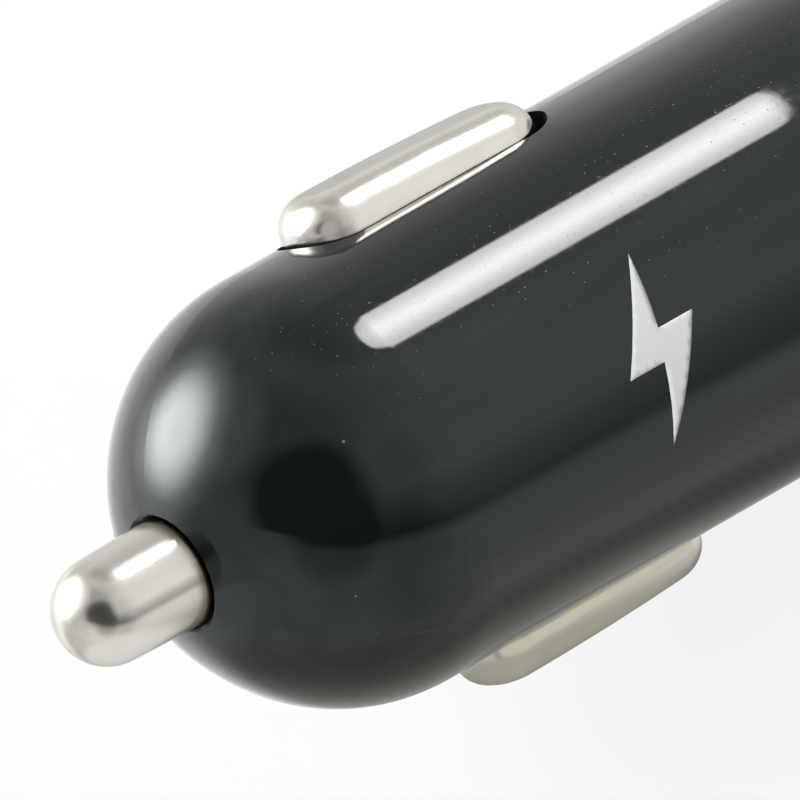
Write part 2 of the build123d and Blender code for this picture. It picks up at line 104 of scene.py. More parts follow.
class Nodes:
    """Short calls for the nodes of one material or of the world."""

    def __init__(self, tree):
        self.tree = tree

    def add(self, kind, inputs=None, **settings):
        node = self.tree.nodes.new(kind)
        for key, value in settings.items():
            setattr(node, key, value)
        for key, value in (inputs or {}).items():
            self.set(node.inputs[key], value)
        return node

    def set(self, socket, value):
        if isinstance(value, bpy.types.NodeSocket):
            self.tree.links.new(value, socket)
        else:
            socket.default_value = value

    def place(self, stretch=(1, 1, 1)):
        """Point on the object in metres, stretched along its axes."""
        where = self.add("ShaderNodeTexCoord").outputs["Object"]
        return self.add("ShaderNodeMapping", {"Vector": where, "Scale": stretch}).outputs["Vector"]

    def uv(self):
        return self.add("ShaderNodeTexCoord").outputs["UV"]

    def noise(self, size, detail=3.0, stretch=(1, 1, 1)):
        """Soft noise with spots of about this size in metres."""
        inputs = {
            "Vector": self.place(stretch),
            "Scale": 1 / size,
            "Detail": detail,
            "Roughness": 0.55,
        }
        return self.add("ShaderNodeTexNoise", inputs).outputs["Fac"]

    def spread(self, value, low, high, to_low=0.0, to_high=1.0, soft=True):
        """Value between low and high, spread over a new range and held at its ends."""
        inputs = {
            "Value": value,
            "From Min": low,
            "From Max": high,
            "To Min": to_low,
            "To Max": to_high,
        }
        kind = "SMOOTHSTEP" if soft else "LINEAR"
        return self.add("ShaderNodeMapRange", inputs, interpolation_type=kind).outputs["Result"]

    def math(self, operation, a, b=0.0):
        return self.add("ShaderNodeMath", {0: a, 1: b}, operation=operation).outputs["Value"]

    def vector(self, operation, a, b=(0, 0, 0)):
        """Vector, or the number that a product, distance or length gives."""
        node = self.add("ShaderNodeVectorMath", {0: a, 1: b}, operation=operation)
        is_number = operation in ("DOT_PRODUCT", "DISTANCE", "LENGTH")
        return node.outputs["Value" if is_number else "Vector"]

    def mix(self, factor, a, b):
        """Colour between two colours."""
        node = self.add("ShaderNodeMix", data_type="RGBA")
        self.set(node.inputs["Factor"], factor)
        for key, colour in (("A", a), ("B", b)):
            socket = next(s for s in node.inputs if s.name == key and s.type == "RGBA")
            self.set(socket, colour)
        return next(s for s in node.outputs if s.type == "RGBA")

    def bump(self, height, depth):
        """Normal of a surface with waves of this depth in metres."""
        return self.add("ShaderNodeBump", {"Height": height, "Distance": depth}).outputs["Normal"]


def rgb(r, g, b):
    return (r, g, b, 1.0)


def new_material(name):
    """New material, its node helper and its shader."""
    material = bpy.data.materials.new(name)
    material.use_nodes = True
    return material, Nodes(material.node_tree), material.node_tree.nodes["Principled BSDF"]


def emptied(block):
    """Node helper of a new material or world, with the nodes it starts with taken out."""
    block.use_nodes = True
    n = Nodes(block.node_tree)
    n.tree.nodes.clear()
    return n


def specks(n, cell, share, radius):
    """Mask of round specks: one in each cell of this size, in a share of the cells. Some are smaller."""
    cells = n.add("ShaderNodeTexVoronoi", {"Vector": n.place(), "Scale": 1 / cell})
    chance = n.add("ShaderNodeSeparateColor", {"Color": cells.outputs["Color"]})
    smallest = radius / 3
    size = n.spread(chance.outputs["Green"], 0, 1, smallest / cell, radius / cell, soft=False)
    inside = n.math("LESS_THAN", cells.outputs["Distance"], size)
    chosen = n.math("LESS_THAN", chance.outputs["Red"], share)
    return n.math("MULTIPLY", inside, chosen)


# Materials

# Where most of a noise lies, and the same with more of its high values
MOST_NOISE, WIDE_NOISE = (0.3, 0.7), (0.3, 0.75)

# Black housing: spots in its tone and polish, and faint waves
TONE_SPOT, POLISH_SPOT = 6 * MM, 0.4 * MM
POLISH = (0.035, 0.075)  # lowest and highest roughness where it is clean
WAVE, FINE_WAVE = 2.6 * MM, 0.11 * MM
WAVE_DEPTH = 0.002 * MM
FINE_WAVE_SHARE = 0.14
# Hairline scratches, along and across: their width, how the noise is stretched into them, the high
# values of it that show, and their roughness
HAIRS = (
    (0.15 * MM, (1, 1, 0.04), (0.66, 0.74), 0.09),
    (0.13 * MM, (1, 0.05, 0.7), (0.69, 0.74), 0.12),
)

# Dust on the housing, which lies mostly on one side, from this far out. DUST_SHARE is the share of
# cells with a speck in them, away from that side and on it, and clean spots have less of it.
DUST_AZIMUTH = 45
DUST_REACH = (8.6 * MM, 10.2 * MM)
DUST_SHARE = (0.06, 0.7)
DUST_SPOT = 5 * MM
DUST_SPOT_NOISE, DUST_SPOT_SHARE = (0.38, 0.62), (0.3, 1)
DUST_CELL, DUST_RADIUS = 0.3 * MM, 0.042 * MM
DUST_ROUGHNESS = 0.36
LINT_CELL, LINT_RADIUS = 1.7 * MM, 0.08 * MM
LINT_SHARE = 0.16

# Where the plating is worn: heights on the pin, and distances from the axis on the contacts
WORN_PIN = (57.5 * MM, 58.0 * MM)
WORN_CONTACT = (10.05 * MM, 10.22 * MM)
WORN_SPOT = 0.8 * MM
WORN_NOISE, WORN_SHARE = (0.25, 0.6), (0.3, 0.9)

SMOOTH = (3 * MM, 0.0006 * MM)  # spots and ripple of smooth metal


def black_gloss():
    """Polished black moulding with a little haze, dust and hairline scratches."""
    material, n, shader = new_material("housing")
    tone = n.mix(n.noise(TONE_SPOT), rgb(0.0022, 0.0044, 0.0043), rgb(0.0034, 0.0058, 0.0056))
    outward = n.vector("DOT_PRODUCT", n.place(), tuple(direction(DUST_AZIMUTH, 0)))
    dusty_side = n.spread(outward, *DUST_REACH, *DUST_SHARE)
    dusty_spots = n.spread(n.noise(DUST_SPOT), *DUST_SPOT_NOISE, *DUST_SPOT_SHARE)
    fine_dust = specks(n, DUST_CELL, n.math("MULTIPLY", dusty_side, dusty_spots), DUST_RADIUS)
    lint = specks(n, LINT_CELL, LINT_SHARE, LINT_RADIUS)
    dusted = n.mix(fine_dust, tone, rgb(0.06, 0.08, 0.085))
    n.set(shader.inputs["Base Color"], n.mix(lint, dusted, rgb(0.1, 0.12, 0.12)))
    rough = n.spread(n.noise(POLISH_SPOT, 5), *WIDE_NOISE, *POLISH)
    for width, stretch, shown, roughness in HAIRS:
        rough = n.math("ADD", rough, n.spread(n.noise(width, 2, stretch), *shown, 0, roughness))
    rough_dust = n.math("MULTIPLY", n.math("MAXIMUM", fine_dust, lint), DUST_ROUGHNESS)
    n.set(shader.inputs["Roughness"], n.math("ADD", rough, rough_dust))
    fine_waves = n.math("MULTIPLY", n.noise(FINE_WAVE, 2), FINE_WAVE_SHARE)
    n.set(shader.inputs["Normal"], n.bump(n.math("ADD", n.noise(WAVE, 2), fine_waves), WAVE_DEPTH))
    shader.inputs["Specular Tint"].default_value = rgb(0.93, 1.0, 0.98)
    shader.inputs["Sheen Weight"].default_value = 0.3
    shader.inputs["Sheen Roughness"].default_value = 0.25
    return material


def metal(name, light, dark, low, high, spot=1.2 * MM, ripple=0.002 * MM):
    """Metal whose tone and gloss vary in soft spots."""
    material, n, shader = new_material(name)
    shader.inputs["Metallic"].default_value = 1.0
    spots = n.spread(n.noise(spot, 4), *MOST_NOISE)
    n.set(shader.inputs["Base Color"], n.mix(spots, light, dark))
    n.set(shader.inputs["Roughness"], n.spread(n.noise(spot / 3, 5), *WIDE_NOISE, low, high))
    n.set(shader.inputs["Normal"], n.bump(n.noise(spot, 3), ripple))
    return material


def plated():
    """Satin nickel on the pin and contacts, worn through to the brass where they slide in the housing."""
    light, dark = rgb(0.78, 0.755, 0.7), rgb(0.73, 0.705, 0.65)
    material = metal("nickel", light, dark, 0.18, 0.23, *SMOOTH)
    n = Nodes(material.node_tree)
    shader = material.node_tree.nodes["Principled BSDF"]
    shader.inputs["Specular Tint"].default_value = rgb(0.7, 0.7, 0.68)
    plating = shader.inputs["Base Color"].links[0].from_socket
    place = n.add("ShaderNodeSeparateXYZ", {"Vector": n.place()}).outputs
    on_pin = n.spread(place["Z"], *WORN_PIN, 1, 0)
    on_contact = n.spread(n.math("ABSOLUTE", place["X"]), *WORN_CONTACT, 1, 0)
    is_pin = n.math("GREATER_THAN", place["Z"], NOSE_FOOT.z)
    worn = n.add("ShaderNodeMix", {"Factor": is_pin, "A": on_contact, "B": on_pin}).outputs["Result"]
    worn = n.math("MULTIPLY", worn, n.spread(n.noise(WORN_SPOT), *WORN_NOISE, *WORN_SHARE))
    n.set(shader.inputs["Base Color"], n.mix(worn, plating, rgb(0.5, 0.4, 0.22)))
    return material


def moulding(name, light, dark, low, high, grain=0.25 * MM, depth=0.004 * MM):
    """Moulded, sintered or fired surface with a fine grain."""
    material, n, shader = new_material(name)
    n.set(shader.inputs["Base Color"], n.mix(n.noise(grain * 4, 4), light, dark))
    n.set(shader.inputs["Roughness"], n.spread(n.noise(grain * 2), *MOST_NOISE, low, high))
    n.set(shader.inputs["Normal"], n.bump(n.noise(grain), depth))
    return material


def milky_clear():
    """Milky light pipe that lets light through."""
    material = moulding("clear_plastic", rgb(0.72, 0.74, 0.76), rgb(0.78, 0.79, 0.8), 0.12, 0.2)
    shader = material.node_tree.nodes["Principled BSDF"]
    shader.inputs["Transmission Weight"].default_value = 0.4
    return material


# Plain metals and mouldings: light and dark tone, lowest and highest roughness, and spots if not usual
METALS = {
    "spring_steel": (rgb(0.6, 0.6, 0.6), rgb(0.5, 0.5, 0.51), 0.25, 0.4),
    "brass": (rgb(0.83, 0.63, 0.32), rgb(0.75, 0.55, 0.26), 0.2, 0.35),
    "socket_steel": (rgb(0.72, 0.72, 0.71), rgb(0.68, 0.68, 0.67), 0.26, 0.34, *SMOOTH),
    "gold_plate": (rgb(0.9, 0.68, 0.33), rgb(0.84, 0.6, 0.27), 0.15, 0.25),
    "copper": (rgb(0.74, 0.36, 0.18), rgb(0.66, 0.3, 0.14), 0.25, 0.4),
    "tinned": (rgb(0.76, 0.76, 0.77), rgb(0.68, 0.68, 0.69), 0.25, 0.4),
}
MOULDINGS = {
    "board": (rgb(0.02, 0.16, 0.07), rgb(0.015, 0.13, 0.055), 0.3, 0.45),
    "insulator": (rgb(0.84, 0.84, 0.82), rgb(0.8, 0.8, 0.78), 0.35, 0.5),
    "can": (rgb(0.09, 0.09, 0.11), rgb(0.11, 0.11, 0.13), 0.25, 0.4),
    "ferrite": (rgb(0.08, 0.08, 0.085), rgb(0.06, 0.06, 0.065), 0.5, 0.7),
    "package": (rgb(0.03, 0.03, 0.03), rgb(0.04, 0.04, 0.04), 0.45, 0.65),
    "chip_ceramic": (rgb(0.6, 0.5, 0.38), rgb(0.54, 0.44, 0.33), 0.4, 0.6),
}
MATERIALS = {"housing": black_gloss(), "clear_plastic": milky_clear(), "nickel": plated()}
MATERIALS.update({name: metal(name, *look) for name, look in METALS.items()})
MATERIALS.update({name: moulding(name, *look) for name, look in MOULDINGS.items()})
INK_TONES = (rgb(0.66, 0.67, 0.66), rgb(0.7, 0.71, 0.7))
INK = moulding("ink", *INK_TONES, 0.4, 0.5, grain=0.15 * MM, depth=0.001 * MM)

for subpart in frame["record"]["subparts"]:
    mesh = frame["nodes"][subpart["node"]].data
    mesh.materials.clear()
    mesh.materials.append(MATERIALS[subpart["material_slot"]])


# New pieces

BOARD_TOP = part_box("circuit_board")[1].y

PIN_SPRING_LOW, PIN_SPRING_HIGH = 46.5 * MM, 57.8 * MM
SPRING_RADIUS = 1.55 * MM
SPRING_WIRE = 0.5 * MM
SPRING_TURNS = 7.5
SPRING_END_TURNS = 1.25  # closed turns at each end
SPRING_CLOSED_PITCH = 1.02 * SPRING_WIRE
SPRING_STEPS = 28  # in a turn
WIRE_SIDES = 12

LEAF_X = 5.315 * MM  # middle of the leaf where its bow starts
LEAF_RISE = 2.1 * MM
LEAF_SHEET = 0.3 * MM
LEAF_HALF_WIDTH = 2.81 * MM
LEAF_REAR, LEAF_FRONT = 30.8 * MM, 44.8 * MM
LEAF_FOOT_LENGTH, LEAF_FOOT_WIDTH = 3 * MM, 1.5 * MM
LEAF_STEPS = 32

PRINT_AZIMUTH, PRINT_HEIGHT = 2.0, 35.3 * MM
PRINT_LIFT = 0.02 * MM
PRINT_THICKNESS = 2.5 * PRINT_LIFT  # its inner side is in the barrel
PRINT_CELL = 0.5 * MM
# Plain charging bolt: to the right and up, in millimetres
BOLT = ((0.9, 4.5), (-2.3, -0.6), (-0.2, -0.6), (-0.9, -4.5), (2.3, 0.9), (0.2, 0.9))


def add_piece(name, mesh, body, material):
    """Shown piece that rides on a body."""
    mesh.materials.append(material)
    obj = add_object(name, mesh)
    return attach(obj, body)


def tube_mesh(name, points, radius):
    """Closed round wire along points."""
    bm = bmesh.new()
    corners = [2 * pi * k / WIRE_SIDES for k in range(WIRE_SIDES)]
    rings = []
    for i, point in enumerate(points):
        ahead = points[min(i + 1, len(points) - 1)] - points[max(i - 1, 0)]
        outward = Vector((point.x, point.y, 0)).normalized()
        upward = ahead.cross(outward).normalized()
        rings.append([bm.verts.new(point + radius * (cos(c) * outward + sin(c) * upward)) for c in corners])
    for one, two in zip(rings, rings[1:]):
        for k in range(WIRE_SIDES):
            bm.faces.new((one[k - 1], one[k], two[k], two[k - 1]))
    bm.faces.new(rings[0])
    bm.faces.new(rings[-1])
    bmesh.ops.recalc_face_normals(bm, faces=bm.faces)
    for face in bm.faces:
        face.smooth = len(face.verts) == 4
    return finished_mesh(name, bm)


def prism_mesh(name, outline, depth):
    """Closed solid between two copies of an outline, a depth vector apart."""
    bm = bmesh.new()
    near = [bm.verts.new(p) for p in outline]
    far = [bm.verts.new(p + depth) for p in outline]
    bm.faces.new(near)
    bm.faces.new(far)
    for k in range(len(outline)):
        bm.faces.new((near[k - 1], near[k], far[k], far[k - 1]))
    bmesh.ops.recalc_face_normals(bm, faces=bm.faces)
    return finished_mesh(name, bm)


def add_pin_spring():
    """Coil spring with closed ends under the pin, drawn at rest."""
    low, high = PIN_SPRING_LOW + SPRING_WIRE / 2, PIN_SPRING_HIGH - SPRING_WIRE / 2
    open_turns = SPRING_TURNS - 2 * SPRING_END_TURNS
    open_pitch = (high - low - 2 * SPRING_CLOSED_PITCH * SPRING_END_TURNS) / open_turns
    points = []
    for i in range(int(SPRING_TURNS * SPRING_STEPS) + 1):
        turn = i / SPRING_STEPS
        into_open = min(max(turn - SPRING_END_TURNS, 0), open_turns)
        height = low + SPRING_CLOSED_PITCH * (turn - into_open) + open_pitch * into_open
        points.append(SPRING_RADIUS * direction(360 * turn, 0) + Vector((0, 0, height)))
    mesh = tube_mesh("coil_spring", points, SPRING_WIRE / 2)
    spring = add_piece("coil_spring", mesh, "body", MATERIALS["spring_steel"])
    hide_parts("pin_spring")
    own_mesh(spring)


def leaf_bow(side):
    """Outline of the bowed leaf, along the edge of its sheet."""
    half = (LEAF_FRONT - LEAF_REAR) / 2
    bow_radius = (half**2 + LEAF_RISE**2) / (2 * LEAF_RISE)
    middle = Vector((LEAF_X + LEAF_RISE - bow_radius, 0, (LEAF_FRONT + LEAF_REAR) / 2))
    reach = asin(half / bow_radius)
    angles = [reach * (2 * k / LEAF_STEPS - 1) for k in range(LEAF_STEPS + 1)]
    outer = [middle + (bow_radius + LEAF_SHEET / 2) * Vector((cos(a), 0, sin(a))) for a in angles]
    inner = [middle + (bow_radius - LEAF_SHEET / 2) * Vector((cos(a), 0, sin(a))) for a in angles]
    return [Vector((side * p.x, -LEAF_HALF_WIDTH, p.z)) for p in outer + inner[::-1]]


def leaf_foot(side):
    """Outline of the leaf's upright and of its foot on the board."""
    right, left = LEAF_X + LEAF_SHEET / 2, LEAF_X - LEAF_SHEET / 2
    section = (
        (right, BOARD_TOP),
        (right, LEAF_HALF_WIDTH),
        (left, LEAF_HALF_WIDTH),
        (left, BOARD_TOP + LEAF_SHEET),
        (LEAF_X - LEAF_FOOT_WIDTH, BOARD_TOP + LEAF_SHEET),
        (LEAF_X - LEAF_FOOT_WIDTH, BOARD_TOP),
    )
    low = LEAF_REAR - LEAF_FOOT_LENGTH
    return [Vector((side * x, y, low)) for x, y in section]


def add_leaf_spring(name, node, side):
    """Bowed leaf spring for a side contact, drawn at rest, and the upright that holds it on the board."""
    mesh = prism_mesh(name + "_bow", leaf_bow(side), Vector((0, 2 * LEAF_HALF_WIDTH, 0)))
    bow = add_piece(name + "_bow", mesh, "body", MATERIALS["brass"])
    mesh = prism_mesh(name + "_foot", leaf_foot(side), Vector((0, 0, LEAF_FOOT_LENGTH + LEAF_SHEET)))
    foot = add_piece(name + "_foot", mesh, "body", MATERIALS["brass"])
    for piece in (bow, foot):
        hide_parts(node)
    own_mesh(bow)


def add_print():
    """Pale bolt printed on the barrel."""
    bm = bmesh.new()
    bm.faces.new([bm.verts.new((x * MM, y * MM, 0)) for x, y in BOLT])
    bmesh.ops.triangulate(bm, faces=bm.faces)
    while True:
        long_edges = [e for e in bm.edges if e.calc_length() > PRINT_CELL]
        if not long_edges:
            break
        bmesh.ops.subdivide_edges(bm, edges=long_edges, cuts=1)
        bmesh.ops.triangulate(bm, faces=[f for f in bm.faces if len(f.verts) > 3])
    for vert in bm.verts:
        height = PRINT_HEIGHT - vert.co.x
        radius = BARREL_RADIUS + (NOSE_FOOT.z - height) * tan(radians(BARREL_DRAFT)) + PRINT_LIFT
        azimuth = PRINT_AZIMUTH + degrees(vert.co.y / radius)
        vert.co = radius * direction(azimuth, 0) + Vector((0, 0, height))
    bmesh.ops.recalc_face_normals(bm, faces=bm.faces)
    if bm.faces[0].normal.dot(direction(PRINT_AZIMUTH, 0)) < 0:
        bmesh.ops.reverse_faces(bm, faces=bm.faces)
    for face in bm.faces:
        face.smooth = True
    mark = add_piece("charge_mark", finished_mesh("charge_mark", bm), "body", INK)
    thick = mark.modifiers.new("thickness", "SOLIDIFY")
    thick.thickness = PRINT_THICKNESS
    thick.offset = -1


add_pin_spring()
add_leaf_spring("right_leaf", "right_contact_spring", 1)
add_leaf_spring("left_leaf", "left_contact_spring", -1)
add_print()


# Floor, surroundings and lights

FLOOR_HALF_WIDTH = 3.0
FLOOR_GLOW = 0.69  # what the pale floor shows by itself; the rest comes from the lamps
FLOOR_TONES = (0.294, 0.306)
FLOOR_SPOT = 20 * MM
FLOOR_NOISE = (0.2, 0.8)
AMBIENT = 0.35

# Room as the plug mirrors it: an even tone, with soft patches that are lighter or darker.
# A patch has an azimuth and elevation, its inner and outer half angle, and what it adds.
ROOM_TONE = 0.62
ROOM_DARKEST = 0.07
ROOM_MOTTLE = (0.9, 1.1)  # shares of the tone
ROOM_MOTTLE_SCALE = 3.0
ROOM_PATCHES = {
    "lit table": (0, -90, 58, 96, 0.27),
    "near table": (10, -25, 12, 42, 0.06),
    "far table": (178, 4, 12, 42, 0.65),
    "right shade": (84, -25, 15, 35, -0.26),
    "left table": (-80, 45, 15, 50, 0.15),
    "left shade": (-116, 2, 14, 40, -0.2),
    "left table's shade": (-80, -40, 10, 40, -0.1),
    "plug's shadow": (-120, -33, 12, 34, -0.6),
    "table's edge": (-28, 42, 6, 26, -0.34),
    "ceiling": (45, 45, 15, 42, -0.2),
    "window's halo": (147, 32, 12, 45, 0.2),
    "window's tail": (97, 42, 8, 28, 0.45),
}
# Beyond the table's edge the camera's side of the room is dark, and there is shade along the edge.
# The edge is where the direction is square to TABLE_EDGE. Ranges are sines of the angle past it.
TABLE_EDGE = (0.89, -0.444, -0.106)
DARK_SIDE = (5, 48, 18, 38, -0.55)
DARK_SIDE_STARTS = (-0.01, 0.015)
EDGE_SHADE = (-26, -5, 45, 85, -0.52)
EDGE_SHADE_RISES, EDGE_SHADE_FALLS = (-0.13, 0.01), (0.0, 0.38)

# Window: a bright core and a soft tail, between radii that are shares of its width
WINDOW_AZIMUTH, WINDOW_ELEVATION = 132.0, 34.0
WINDOW_DISTANCE = 0.5
WINDOW_HALF_ANGLE = 36.0
WINDOW_CORE, WINDOW_CORE_RADII = 9.0, (0.07, 0.34)
WINDOW_TAIL, WINDOW_TAIL_RADII = 3.2, (0.1, 0.5)

# Strip of light, where it is mirrored on the barrel
STRIP_LOW, STRIP_HIGH = 22.2 * MM, 48.4 * MM
STRIP_AZIMUTH = 41.8
STRIP_HALF_WIDTH = 6.3  # degrees
STRIP_ROUND = 1.05 * MM  # radius of its rounded ends
STRIP_LENGTH = (STRIP_HIGH - STRIP_LOW) / STRIP_ROUND  # in radii of its ends
STRIP_ROWS, STRIP_COLUMNS = 48, 8
STRIP_LIFT = 0.2 * MM  # above the floor
STRIP_STRENGTH = 19.5
STRIP_SIDE_STRENGTH = 0.6 * STRIP_STRENGTH
STRIP_SIDE, STRIP_EDGE = 0.9, (0.86, 1.0)  # shares of the half width
STRIP_GRAIN = (0.88, 1.12)  # shares of the strength
STRIP_GRAIN_SCALE = 9.0
STRIP_COLOUR = rgb(1.0, 0.935, 0.955)

# Cards that only mirrors see, close to the contacts and the pin, which mirror them: painted shade by the
# contacts and painted light by the pin. Each has the middle, half of the width and half of the height in
# millimetres, how far out the full tone reaches, and the tone
SHADES = {
    "shade_beside_left": ((-13.2, 0, 43), (0, 11, 0), 20, 0.2, rgb(0.46, 0.45, 0.4)),
    "shade_before_left": ((-12, -8, 36), (3.6, 0, 0), 20, 0.36, rgb(0.7, 0.69, 0.61)),
    "shade_before_right": ((11.6, -5.5, 49.2), (4.4, 0, 0), 7, 0.22, rgb(0.5, 0.5, 0.5)),
    # painted light: a bright card that the pin's lower side mirrors, in place of the room
    "painted_light_by_pin": ((-4.5, -0.5, 62.5), (0, 6, 0), 6, 0.3, rgb(0.9, 0.91, 0.92)),
}

# Lamps: azimuth, elevation, and share of the plain level
LAMP_DISTANCE = 0.5
LAMP_SIZE = 0.15
LAMPS = {
    "window_lamp": (WINDOW_AZIMUTH, WINDOW_ELEVATION, 0.5),
    "front_lamp": (28, 38, 0.9),
}

CARD_CORNERS = ((-1, -1), (1, -1), (1, 1), (-1, 1))
CARD_EDGE = 0.5  # distance of a card's edge from its middle, as a share of its width


def emitter(name):
    """Material that adds light to what is behind it, its node helper and its emission node."""
    material = bpy.data.materials.new(name)
    n = emptied(material)
    emission = n.add("ShaderNodeEmission")
    clear = n.add("ShaderNodeBsdfTransparent")
    both = n.add("ShaderNodeAddShader", {0: emission.outputs[0], 1: clear.outputs[0]})
    n.add("ShaderNodeOutputMaterial", {"Surface": both.outputs[0]})
    return material, n, emission


def add_card(name, middle, aside, along, material):
    """Flat card of the studio, from its middle and half of its width and length as vectors."""
    corners = [middle + x * aside + y * along for x, y in CARD_CORNERS]
    mesh = bpy.data.meshes.new(name)
    mesh.from_pydata([tuple(c) for c in corners], [], [(0, 1, 2, 3)])
    layer = mesh.uv_layers.new(name="UVMap")
    for loop, (x, y) in zip(layer.data, CARD_CORNERS):
        loop.uv = ((x + 1) / 2, (y + 1) / 2)
    mesh.materials.append(material)
    obj = add_object(name, mesh)
    return obj


def from_card_middle(n):
    """Distance from a card's middle, as a share of its width and length."""
    return n.vector("DISTANCE", n.uv(), (0.5, 0.5, 0))


def for_mirrors_only(obj):
    obj.visible_camera = False
    obj.visible_diffuse = False
    obj.visible_shadow = False
    obj.visible_transmission = False


def ray_kinds(n):
    """Whether the camera looks this way, and whether something glossy or clear does."""
    path = n.add("ShaderNodeLightPath").outputs
    return path["Is Camera Ray"], n.math("ADD", path["Is Glossy Ray"], path["Is Transmission Ray"])


def room_patch(n, towards, azimuth, elevation, inner, outer, amount):
    """Soft round patch of the room."""
    near = n.vector("DOT_PRODUCT", towards, tuple(direction(azimuth, elevation)))
    return n.spread(near, cos(radians(outer)), cos(radians(inner)), 0, amount)


def room_glow(n, towards):
    """Brightness of the room in a direction, as a mirror sees it."""
    past_edge = n.vector("DOT_PRODUCT", towards, TABLE_EDGE)
    beyond = n.spread(past_edge, *DARK_SIDE_STARTS)
    glow = n.math("MULTIPLY", room_patch(n, towards, *DARK_SIDE), beyond)
    rise = n.spread(past_edge, *EDGE_SHADE_RISES)
    fall = n.spread(past_edge, *EDGE_SHADE_FALLS, 1, 0, soft=False)
    along_edge = n.math("MULTIPLY", rise, fall)
    glow = n.math("ADD", n.math("MULTIPLY", room_patch(n, towards, *EDGE_SHADE), along_edge), glow)
    for patch in ROOM_PATCHES.values():
        glow = n.math("ADD", room_patch(n, towards, *patch), glow)
    inputs = {"Vector": towards, "Scale": ROOM_MOTTLE_SCALE, "Detail": 2.0}
    mottle = n.spread(n.add("ShaderNodeTexNoise", inputs).outputs["Fac"], *MOST_NOISE, *ROOM_MOTTLE)
    glow = n.math("MULTIPLY", n.math("ADD", glow, ROOM_TONE), mottle)
    return n.math("MAXIMUM", glow, ROOM_DARKEST)


def add_floor():
    """Pale floor that takes the plug's soft shadow. What is glossy mirrors the room in its place."""
    material = bpy.data.materials.new("floor")
    n = emptied(material)
    by_camera, by_mirror = ray_kinds(n)
    towards = n.vector("NORMALIZE", n.vector("SUBTRACT", n.place(), tuple(NOSE_FOOT)))
    emission = n.add("ShaderNodeEmission", {"Strength": n.math("MULTIPLY", by_camera, FLOOR_GLOW)})
    tone = n.spread(n.noise(FLOOR_SPOT), *FLOOR_NOISE, *FLOOR_TONES)
    diffuse = n.add("ShaderNodeBsdfDiffuse", {"Color": tone})
    both = n.add("ShaderNodeAddShader", {0: emission.outputs[0], 1: diffuse.outputs[0]})
    in_mirrors = n.add("ShaderNodeEmission", {"Strength": room_glow(n, towards)})
    surface = n.add("ShaderNodeMixShader", {0: by_mirror, 1: both.outputs[0], 2: in_mirrors.outputs[0]})
    n.add("ShaderNodeOutputMaterial", {"Surface": surface.outputs[0]})
    aside, along = Vector((FLOOR_HALF_WIDTH, 0, 0)), Vector((0, FLOOR_HALF_WIDTH, 0))
    add_card("floor", Vector((0, 0, 0)), aside, along, material)


def add_window():
    """Large soft window that mirrors see, brightest in its middle."""
    material, n, emission = emitter("window")
    off_middle = from_card_middle(n)
    core = n.spread(off_middle, *WINDOW_CORE_RADII, WINDOW_CORE, 0.0)
    tail = n.spread(off_middle, *WINDOW_TAIL_RADII, WINDOW_TAIL, 0.0)
    n.set(emission.inputs["Strength"], n.math("ADD", core, tail))
    towards = direction(WINDOW_AZIMUTH, WINDOW_ELEVATION)
    side = Vector((0, 0, 1)).cross(towards).normalized()
    rise = towards.cross(side)
    half = WINDOW_DISTANCE * tan(radians(WINDOW_HALF_ANGLE))
    middle = NOSE_FOOT + towards * WINDOW_DISTANCE
    for_mirrors_only(add_card("window", middle, half * side, half * rise, material))


def mirrored_on_floor(azimuth, height):
    """Point of the floor that the camera sees mirrored in the barrel or nose at this place."""
    rise = max(height - NOSE_FOOT.z, BARREL_RADIUS * sin(radians(BARREL_DRAFT)))
    normal = direction(azimuth, degrees(asin(rise / BARREL_RADIUS)))
    place = BARREL_RADIUS * direction(azimuth, 0) + Vector((0, 0, height))
    towards = CAMERA_PLACE - place
    ray = 2 * towards.dot(normal) * normal - towards
    return place - ray * (place.z / ray.z)


def strip_mesh():
    """Grid on the floor. Across it u goes from -1 to 1, and along it v counts radii of its ends."""
    bm = bmesh.new()
    layer = bm.loops.layers.uv.new("UVMap")
    shifts = [2 * k / STRIP_COLUMNS - 1 for k in range(STRIP_COLUMNS + 1)]
    grid = []
    for row in range(STRIP_ROWS + 1):
        height = STRIP_LOW + (STRIP_HIGH - STRIP_LOW) * row / STRIP_ROWS
        sides = [STRIP_AZIMUTH + STRIP_HALF_WIDTH * shift for shift in shifts]
        grid.append([bm.verts.new(mirrored_on_floor(side, height)) for side in sides])
    for row in range(STRIP_ROWS):
        for k in range(STRIP_COLUMNS):
            corners = ((row, k), (row, k + 1), (row + 1, k + 1), (row + 1, k))
            face = bm.faces.new([grid[r][c] for r, c in corners])
            for loop, (r, c) in zip(face.loops, corners):
                loop[layer].uv = (shifts[c], STRIP_LENGTH * r / STRIP_ROWS)
    return finished_mesh("strip_light", bm)


def strip_material():
    """Light of the strip, with round ends and strongest along its middle."""
    material, n, emission = emitter("strip")
    uv = n.uv()
    place = n.add("ShaderNodeSeparateXYZ", {"Vector": uv}).outputs
    half = STRIP_LENGTH / 2
    from_half = n.math("ABSOLUTE", n.math("SUBTRACT", place["Y"], half))
    past_end = n.math("MAXIMUM", n.math("SUBTRACT", from_half, half - 1), 0)
    off = n.add("ShaderNodeCombineXYZ", {"X": place["X"], "Y": past_end})
    from_middle = n.vector("LENGTH", off.outputs[0])
    inside = n.spread(from_middle, *STRIP_EDGE, 1, 0)
    fall = n.spread(from_middle, 0.0, STRIP_SIDE, STRIP_STRENGTH, STRIP_SIDE_STRENGTH)
    inputs = {"Vector": uv, "Scale": STRIP_GRAIN_SCALE, "Detail": 3.0}
    grain = n.spread(n.add("ShaderNodeTexNoise", inputs).outputs["Fac"], *MOST_NOISE, *STRIP_GRAIN)
    n.set(emission.inputs["Strength"], n.math("MULTIPLY", inside, n.math("MULTIPLY", fall, grain)))
    emission.inputs["Color"].default_value = STRIP_COLOUR
    return material


